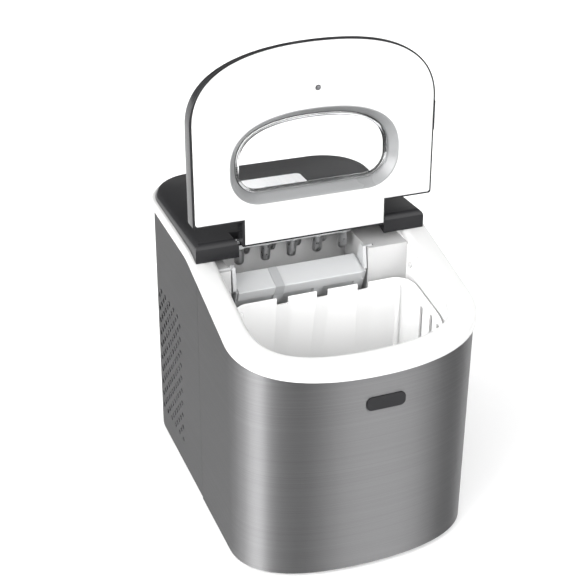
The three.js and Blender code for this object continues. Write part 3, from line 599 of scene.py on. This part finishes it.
def basket_outline(inset, steps=20):
    side, front, rear = BASKET_HALF_WIDTH - inset, BASKET_FRONT + inset, BASKET_REAR - inset
    corner = max(BASKET_CORNER - inset, 2.0)
    return (line((side, BEND_Y), (side, rear - corner), 8)
            + arc(side - corner, rear - corner, corner, 0, 90, 14)
            + line((side - corner, rear), (corner - side, rear), 12)
            + arc(corner - side, rear - corner, corner, 90, 180, 14)
            + line((-side, rear - corner), (-side, BEND_Y), 8)
            + bezier((-side, BEND_Y), (-side, -130.0), (-76.0, front), (0.0, front), steps)
            + bezier((0.0, front), (76.0, front), (side, -130.0), (side, BEND_Y), steps))


def basket_top(y):
    return BASKET_RIM_HEIGHT + (y / 200.0) * BASKET_RIM_SLOPE


def basket_mesh():
    """A thin bowl with a rounded rim, slots in its side walls and floor, and notches for the chute's tabs."""
    def rim(inset, drop):
        return [(x, y, basket_top(y) - drop) for x, y in basket_outline(inset)]

    def level(inset, rise):
        return level_ring(basket_outline(inset), BASKET_FLOOR + rise)

    inside = [level(30, 2), level(12, 2), level(7, 3.5), level(3.6, 7), level(2.2, 12)]
    edge = [rim(2.0, 1.2), rim(1.7, 0.4), rim(1.2, 0.0), rim(0.6, 0.0), rim(0.1, 0.5), rim(0.0, 1.4)]
    outside = [level(0.0, 12), level(1.5, 6), level(5.0, 2), level(10, 0.1), level(30, 0.1)]
    mesh = skin(inside + edge + outside)
    cutters = []
    for y, low, high in BASKET_WALL_SLOTS:
        outline = rounded_box(y - 2.6, y + 2.6, low, high, 2.4, 4)
        cutters.append(skin([[(x, a, b) for a, b in outline] for x in (-120, 120)]))
    for x in CHUTE_TABS:
        outline = rounded_box(x - 6, x + 6, 219.5, 245, 1.5, 5)
        cutters.append(skin([[(a, y, b) for a, b in outline] for y in (-38, -28)]))
    for x in BASKET_FLOOR_SLOTS:
        outline = rounded_box(x - 1.6, x + 1.6, -118, -52, 1.5, 4)
        cutters.append(skin([[(a, b, z) for a, b in outline] for z in (110, 140)]))
    return boolean(mesh, merged(*cutters), "DIFFERENCE")


def basket_post_mesh():
    """Slim upright ribs inside the basket's rear corners."""
    posts = []
    for x in (-BASKET_POST_X, BASKET_POST_X):
        post = turned([(0, 130), (2.4, 130), (2.4, 217), (1.6, 219), (0, 219.6)], 24)
        post.transform(Matrix.Translation((x, BASKET_POST_Y, 0)))
        posts.append(post)
    return merged(*posts)


finish_mesh("rim", rim_mesh(), "cabinet", WHITE, ["top_rim"], 50)
# the tub gets the brighter copy of the white plastic: painted light for the cavity's shade
finish_mesh("tub", tub_mesh(), "cabinet", TUB_PAINTED_LIGHT, ["inner_tub"], 40)
# the basket and its posts get the brighter copy of the white plastic: painted light
finish_mesh("basket", basket_mesh(), "ice_basket", BASKET_PAINTED_LIGHT, ["ice_basket"], 35)
finish_mesh("basket_posts", basket_post_mesh(), "ice_basket", BASKET_PAINTED_LIGHT, (), 35)


# ---------------------------------------------------------------- control housing
def housing_outline(inset):
    """The plan of the black housing: the machine's outline cut off at the front, with the lid's notch."""
    side_steps, corner_steps, rear_steps = 40, 24, 8
    count = 2 * side_steps + 2 * corner_steps + rear_steps
    plan = body_outline(HOUSING_SETBACK + inset, side_steps, corner_steps, rear_steps, 8)
    points = [p for p in plan[:count] if p[1] > HOUSING_FRONT + 4]
    x = side_x(HOUSING_FRONT, HOUSING_SETBACK + inset)
    front = HOUSING_FRONT + inset
    notch = NOTCH_HALF_WIDTH + inset
    back = NOTCH_BACK + inset
    right = [(notch, back), (notch, front), (x, front)]
    left = [(-x, front), (-notch, front), (-notch, back)]
    return right + points + left


def housing_mesh():
    """A hollow cover: an outer and an inner skin joined along their lower edge, each closed at the top."""
    def bottom(y):
        return steel_top(y) + RIM_RISE + 0.3

    def top(drop):
        return lambda y: housing_top(y) - drop

    def ring(inset, height):
        return [(x, y, height(y)) for x, y in housing_outline(inset)]

    outside = skin([ring(2.2, bottom), ring(0.0, bottom), ring(0.0, top(6.0)), ring(1.0, top(3.2)),
                    ring(3.6, top(0.5)), ring(4.6, top(0.0))], cap=False)
    inside = skin([ring(2.2, bottom), ring(2.2, top(6.5)), ring(5.2, top(2.6))], cap=False)
    cover = bmesh.new()
    cover.from_mesh(merged(outside, inside))
    bmesh.ops.remove_doubles(cover, verts=cover.verts, dist=1e-3)
    bmesh.ops.holes_fill(cover, edges=[e for e in cover.edges if e.is_boundary], sides=0)
    bmesh.ops.triangulate(cover, faces=[f for f in cover.faces if len(f.verts) > 4])
    bmesh.ops.recalc_face_normals(cover, faces=cover.faces)
    mesh = bpy.data.meshes.new("housing")
    cover.to_mesh(mesh)
    cover.free()
    return mesh


finish_mesh("housing", housing_mesh(), "cabinet", BLACK, ["control_housing"], 30)


def on_housing(mesh, low):
    """Leans a flat slab made at height 0 onto the housing's sloping top."""
    mesh.transform(Matrix.Translation((0, 0, housing_top(0) + low))
                   @ Matrix.Rotation(-math.atan(HOUSING_FALL), 4, "X"))
    return mesh


def control_panel():
    holes = [circle(PLATE_X + side * BUTTON_X, BUTTON_Y, 7.4) for side in (-1, 1)]
    edge = rounded_box(PLATE_X - PLATE_HALF_WIDTH, PLATE_X + PLATE_HALF_WIDTH, 26, 124, 5)
    return on_housing(plate([edge, *holes], 0, 0.8, 0.2), 0.3)


finish_mesh("panel", control_panel(), "cabinet", SILVER, ["control_plate"])
for side, node in ((-1, "power_button"), (1, "select_button")):
    top = housing_top(BUTTON_Y)
    cap = turned([(0, top + 2.9), (6.7, top + 2.9), (7.0, top + 3.2), (7.0, top + 4.3), (6.6, top + 4.75),
                  (5.6, top + 4.95), (4.6, top + 4.85), (0, top + 4.7)])
    stem = turned([(0, 277.3), (2.4, 277.3), (2.4, top + 3.0), (0, top + 3.0)], 24)
    button = merged(cap, stem)
    button.transform(Matrix.Translation((PLATE_X + side * BUTTON_X, BUTTON_Y, 0)))
    finish_mesh(node + "_cap", button, node, SILVER, [node])


# ---------------------------------------------------------------- lid
def lid_outline(inset, steps=40):
    side, tongue, end = LID_HALF_WIDTH - inset, TONGUE_HALF_WIDTH - inset, LID_LENGTH - inset
    low, shoulder, bend, soft = inset - 1.6, LID_SHOULDER + inset, LID_BEND, 1.6
    right = ([(tongue, low)] + [(tongue, shoulder)] + [(side - soft, shoulder), (side, shoulder + soft)]
             + bezier((side, bend), (side, bend + 41), (86.0, end), (0.0, end), steps))
    left = [(-x, y) for x, y in right]
    return right + [(0.0, end)] + left[::-1]


def window_outline(inset, steps=24):
    half, low, high = WINDOW_HALF_WIDTH - inset, WINDOW_LOW + inset, WINDOW_HIGH - inset
    corner = WINDOW_CORNER - inset
    right = (arc(half - corner, low + corner, corner, -90, 0, steps) + [(half, low + corner)]
             + bezier((half, high - 48 + inset), (half, high - 13), (50.0, high), (0.0, high), steps))
    left = [(-x, y) for x, y in right]
    return right + [(0.0, high)] + left[::-1]


def lid_band(section):
    """A closed band round the window, from the (inset, height) corners of its section."""
    return skin([level_ring(window_outline(inset), height) for inset, height in section], wrap=True)


def lid_back(y):
    """The back of the lid, which slopes in towards the liner at the free edge."""
    return LID_BACK + 14.0 * (max(0.0, y - 90.0) / (LID_LENGTH - 90.0)) ** 2.4


def bearings(*outlines):
    """Every direction, seen from the window's centre, in which some outline has a corner."""
    cx, cy = WINDOW_CENTRE
    return sorted({round(math.atan2(y - cy, x - cx), 5) for outline in outlines for x, y in outline})


def along_bearings(outline, angles):
    """Where rays from the window's centre meet an outline."""
    cx, cy = WINDOW_CENTRE
    points = []
    for angle in angles:
        dx, dy = math.cos(angle), math.sin(angle)
        best = None
        for (x0, y0), (x1, y1) in zip(outline, outline[1:] + outline[:1]):
            ex, ey = x1 - x0, y1 - y0
            across = dx * ey - dy * ex
            if abs(across) < 1e-9:
                continue
            reach = ((x0 - cx) * ey - (y0 - cy) * ex) / across
            share = ((x0 - cx) * dy - (y0 - cy) * dx) / across
            if reach > 0 and -1e-6 <= share <= 1 + 1e-6 and (best is None or reach > best):
                best = reach
        points.append((cx + dx * best, cy + dy * best))
    return points


def shell_mesh():
    """One closed skin: back, rounded edge, side wall, inside and the hole for the window."""
    angles = bearings(lid_outline(0.0), window_outline(WINDOW_CUT))
    rings = []

    def ring(outline, height):
        rings.append([(x, y, height(y)) for x, y in along_bearings(outline, angles)])

    front = LID_FACE - 1.3
    hole = along_bearings(window_outline(WINDOW_CUT), angles)
    edge = along_bearings(lid_outline(LID_EDGE), angles)
    ring(window_outline(WINDOW_CUT), lambda y: -0.9)
    ring(window_outline(WINDOW_CUT), lambda y: lid_back(y) + 0.6)
    for share in (0.02, 0.25, 0.5, 0.75, 1.0):
        rings.append([(x0 + (x1 - x0) * share, y0 + (y1 - y0) * share,
                       lid_back(y0 + (y1 - y0) * share) - 0.6 * math.sin(math.pi * share))
                      for (x0, y0), (x1, y1) in zip(hole, edge)])
    for degrees in (25, 50, 70, 90):
        a = math.radians(degrees)
        ring(lid_outline(LID_EDGE - LID_EDGE * math.sin(a)),
             lambda y: lid_back(y) + LID_EDGE - LID_EDGE * math.cos(a))
    ring(lid_outline(0.0), lambda y: max(front - 0.3, lid_back(y) + 3.2))
    ring(lid_outline(0.3), lambda y: max(front, lid_back(y) + 3.3))
    ring(lid_outline(1.8), lambda y: max(front, lid_back(y) + 3.3))
    ring(lid_outline(2.1), lambda y: max(front - 0.3, lid_back(y) + 3.2))
    ring(lid_outline(2.4), lambda y: lid_back(y) + 2.4)
    ring(window_outline(WINDOW_CUT_INSIDE), lambda y: lid_back(y) + 1.8)
    ring(window_outline(WINDOW_CUT_INSIDE), lambda y: -0.9)
    return skin(rings, wrap=True)


def grip_mesh():
    """The finger grip on the lid's right edge."""
    outline = rounded_box(LID_HALF_WIDTH - 1.5, LID_HALF_WIDTH + 1.7, GRIP_LOW, GRIP_HIGH, 1.4)
    return plate([outline], -1.5, LID_FACE - 3, 0.6)


def step_outline(inset):
    """The shallow panel moulded into the liner, a narrower D."""
    side, end, low = STEP_HALF_WIDTH - inset, STEP_HIGH - inset, STEP_LOW + inset
    right = ([(side, low)] + bezier((side, 120.0), (side, 146.0), (70.0, end), (0.0, end), 30))
    left = [(-x, y) for x, y in right]
    return right + [(0.0, end)] + left[::-1]


def liner_mesh():
    """The flat face with the D-shaped panel set in it, and apart from them the wall of the window opening."""
    face = plate([lid_outline(2.3), step_outline(0.0)], LID_FACE - 1.8, LID_FACE, 0.25)
    outlines = [step_outline(-0.4), window_outline(-1.2), circle(LINER_SCREW_X, LINER_SCREW_Y, 2.7)]
    panel = plate(outlines, LID_FACE - 1.9, LID_FACE - 0.1, 0.2)
    for vertex in panel.vertices:
        share = (vertex.co.y - STEP_LOW) / (STEP_HIGH - STEP_LOW)
        vertex.co.z -= STEP_DEPTH * max(0.0, min(1.0, share))
    return merged(face, panel), lid_band((
        (-1.3, LID_FACE - 1.6), (-1.2, LID_FACE - 0.9), (-0.6, LID_FACE - 0.6), (0.4, LID_FACE - 1.3),
        (1.2, LID_FACE - 2.4), (7.0, 0.9), (6.0, 0.7), (4.6, 0.9), (-1.0, LID_FACE - 3.2)))


liner, funnel = liner_mesh()
pane = plate([window_outline(7.7)], -2.3, -0.9, 0.3)
flange = lid_band(((7.9, -0.8), (7.9, 3.6), (8.3, 4.0), (9.9, 4.0), (10.3, 3.6), (10.3, -0.8)))
for name, mesh, slot, material, stands_for, smooth in (
        ("shell", shell_mesh(), "black_gloss", BLACK, ["lid_shell"], 35),
        ("lid_grip", grip_mesh(), "black_gloss", BLACK, (), 35),
        ("liner", liner, "white_plastic", WHITE, ["lid_liner"], 35),
        # the funnel wall keeps the white_plastic slot but gets the dark grey copy: painted shade
        ("liner_funnel", funnel, "white_plastic", FUNNEL_PAINTED_SHADE, (), 50),
        ("window_pane", pane, "window_clear", PANE, ["lid_window"], 35),
        ("window_flange", flange, "window_clear", FLANGE, (), 35)):
    finish_mesh(name, mesh, "lid", material, stands_for, smooth, LID_PLACE)
gasket = lid_band(((4.4, -0.6), (4.2, 0.0), (4.6, 0.6), (7.6, 0.6), (7.9, 0.2), (7.9, -0.6)))
finish_mesh("seal", gasket, "lid", RUBBER, ["window_gasket"], 35, LID_PLACE)


# ---------------------------------------------------------------- ice maker parts
def evaporator_mesh():
    parts = [plate([rounded_box(-75, 52, 9, 39, 5)], 263, 271, 1.0)]
    for x in (-42, 18):
        post = turned([(0, 270), (5, 270), (5, 281), (0, 281)], 24)
        post.transform(Matrix.Translation((x, 24, 0)))
        parts.append(post)
    for y, count, shift in FINGER_ROWS:
        for i in range(count):
            finger = turned([(0, 245.3), (2.2, 245.4), (3.8, 246.1), (4.7, 247.5), (5.0, 249.6), (5.0, 262.0),
                             (5.8, 263.5), (0, 263.5)], 32)
            finger.transform(Matrix.Translation((FINGER_X + shift + FINGER_PITCH * i, y, 0)))
            parts.append(finger)
    return merged(*parts)


finish_mesh("ice_fingers", evaporator_mesh(), "cabinet", NICKEL, ["evaporator"], 35)


# ---------------------------------------------------------------- tray and chute
def swept(profile, left, right):
    """A side view, given as (y, z) corners, carried from one x to another."""
    return skin([[(x, y, z) for y, z in profile] for x in (left, right)])


def chute_mesh():
    """The sloping plate with its rounded lip, front apron and tabs, as it lies with the tray level."""
    lip = [(CHUTE_FRONT + CHUTE_LIP - CHUTE_LIP * math.cos(a),
            CHUTE_LOW + CHUTE_LIP - CHUTE_LIP * math.sin(a))
           for a in (math.radians(angle) for angle in range(0, 91, 15))]
    plate_end = [(CHUTE_BACK, CHUTE_HIGH), (CHUTE_FRONT + 0.4, CHUTE_HIGH), (CHUTE_FRONT, CHUTE_HIGH - 0.4)]
    apron_end = [(10.8, CHUTE_LOW), (11.2, CHUTE_LOW + 0.4), (11.2, CHUTE_LOW + 2),
                 (CHUTE_BACK, CHUTE_LOW + 2)]
    profile = plate_end + lip + apron_end
    parts = [swept(profile, CHUTE_LEFT, CHUTE_RIGHT)]
    for x in CHUTE_TABS:
        tab = rounded_box(x - 5, x + 5, 9.2, 23.2, 1.2)
        parts.append(plate([tab], CHUTE_LOW + 0.1, CHUTE_LOW + 1.9, 0.3))
    return merged(*parts)


def chute_rib_mesh():
    """A shallow channel strip that runs down the chute above the first tab."""
    top, end = CHUTE_HIGH - 0.4, 11.0
    strip = [(CHUTE_FRONT - 0.5, top), (CHUTE_FRONT - 0.5, CHUTE_LOW - 0.5), (end, CHUTE_LOW - 0.5),
             (end, CHUTE_LOW - 0.05), (CHUTE_FRONT - 0.05, CHUTE_LOW - 0.05), (CHUTE_FRONT - 0.05, top)]
    return swept(strip, CHUTE_TABS[0] - 4.6, CHUTE_TABS[0] + 4.6)


finish_mesh("chute", chute_mesh(), "water_tray", TRAY, ["ice_chute"], 40, TRAY_PLACE)
# the rib gets the darker copy of the tray plastic: painted shade for its groove
finish_mesh("chute_rib", chute_rib_mesh(), "water_tray", TRAY_RIB_PAINTED_SHADE, (), 40, TRAY_PLACE)


# ---------------------------------------------------------------- carried-over nodes
for name, width in EDGE_ROUNDING.items():
    bevelled(frame["nodes"][name], width)

for row in frame["record"]["subparts"]:
    node = frame["nodes"][row["node"]]
    finish = SLOT_MATERIALS[row["material_slot"]]
    node.data.materials.clear()
    if "screw" in row["node"]:
        finish = SCREW_STEEL
    # the gearbox and bearing get the greyer copy of the white plastic: painted shade
    elif row["node"] in PAINTED_SHADE_NODES:
        finish = SIDE_PAINTED_SHADE
    node.data.materials.append(finish)


# ---------------------------------------------------------------- studio
def studio():
    floor = bpy.data.objects.new("floor", mesh_from(
        [(-FLOOR_REACH, -FLOOR_REACH, 0), (FLOOR_REACH, -FLOOR_REACH, 0), (FLOOR_REACH, FLOOR_REACH, 0),
         (-FLOOR_REACH, FLOOR_REACH, 0)], [(0, 1, 2, 3)]))
    bpy.context.scene.collection.objects.link(floor)
    m = Nodes("floor_paper")
    m.link(m.ramp(m.noise(3.0), (0.94, 0.94, 0.94), (0.955, 0.955, 0.955)), "Base Color")
    m.set(Roughness=0.9)
    floor.data.materials.append(m.material)
    world = bpy.data.worlds.new("studio")
    world.use_nodes = True
    bpy.context.scene.world = world
    tree = world.node_tree
    background = tree.nodes["Background"]
    background.inputs["Strength"].default_value = WORLD_STRENGTH
    direction = tree.nodes.new("ShaderNodeTexCoord").outputs["Generated"]
    split = tree.nodes.new("ShaderNodeSeparateXYZ")
    tree.links.new(direction, split.inputs["Vector"])
    turn = tree.nodes.new("ShaderNodeMath")
    turn.operation = "ARCTAN2"
    front = tree.nodes.new("ShaderNodeMath")
    front.operation = "MULTIPLY"
    front.inputs[1].default_value = -1.0
    tree.links.new(split.outputs["Y"], front.inputs[0])
    tree.links.new(split.outputs["X"], turn.inputs[0])
    tree.links.new(front.outputs["Value"], turn.inputs[1])
    span = tree.nodes.new("ShaderNodeMapRange")
    span.inputs["From Min"].default_value = -math.pi
    span.inputs["From Max"].default_value = math.pi
    tree.links.new(turn.outputs["Value"], span.inputs["Value"])
    walls = tree.nodes.new("ShaderNodeValToRGB")
    walls.color_ramp.interpolation = "EASE"
    stops = walls.color_ramp.elements
    for i, (degrees, level) in enumerate(STUDIO_WALLS):
        place = (degrees + 180.0) / 360.0
        stop = stops[i] if i < 2 else stops.new(place)
        stop.position = place
        stop.color = (level, level, level, 1.0)
    tree.links.new(span.outputs["Result"], walls.inputs["Fac"])
    ceiling = tree.nodes.new("ShaderNodeMapRange")
    ceiling.inputs["From Min"].default_value, ceiling.inputs["From Max"].default_value = CEILING_FADE
    tree.links.new(split.outputs["Z"], ceiling.inputs["Value"])
    mix = tree.nodes.new("ShaderNodeMix")
    mix.data_type = "RGBA"
    tree.links.new(ceiling.outputs["Result"], mix.inputs["Factor"])
    tree.links.new(walls.outputs["Color"], mix.inputs["A"])
    mix.inputs["B"].default_value = (CEILING, CEILING, CEILING, 1.0)
    tree.links.new(mix.outputs["Result"], background.inputs["Color"])


def softbox(name, place, target, width, height, power, mirrored=True):
    data = bpy.data.lights.new(name, "AREA")
    data.shape = "RECTANGLE"
    data.size = width
    data.size_y = height
    data.energy = power
    lamp = bpy.data.objects.new(name, data)
    direction = Vector(target) - Vector(place)
    lamp.matrix_world = Matrix.Translation(place) @ direction.to_track_quat("-Z", "Y").to_matrix().to_4x4()
    lamp.visible_glossy = mirrored
    bpy.context.scene.collection.objects.link(lamp)


def camera():
    data = bpy.data.cameras.new("camera")
    data.sensor_width = 36.0
    data.lens = LENS
    data.clip_end = 50.0
    yaw, pitch, roll = (math.radians(angle) for angle in CAMERA_ANGLES)
    back = Vector((math.sin(yaw) * math.cos(pitch), -math.cos(yaw) * math.cos(pitch), math.sin(pitch)))
    right = (-back).cross(Vector((0, 0, 1))).normalized()
    up = right.cross(-back)
    turned_right = math.cos(roll) * right + math.sin(roll) * up
    turned_up = -math.sin(roll) * right + math.cos(roll) * up
    view = bpy.data.objects.new("camera", data)
    axes = Matrix((turned_right, turned_up, back)).transposed().to_4x4()
    view.matrix_world = Matrix.Translation(CAMERA_PLACE) @ axes
    bpy.context.scene.collection.objects.link(view)
    bpy.context.scene.camera = view


camera()
studio()
softbox("key", (-1.55, -0.8, 1.2), (0, 0, 0.2), 0.4, 1.6, 6)
softbox("fill", (1.1, -1.35, 0.9), (0, 0, 0.2), 0.5, 1.6, 3)
softbox("front", (-0.5, -1.7, 1.3), (0, 0, 0.24), 0.9, 0.9, 14, False)
bpy.context.scene.view_settings.view_transform = "Standard"
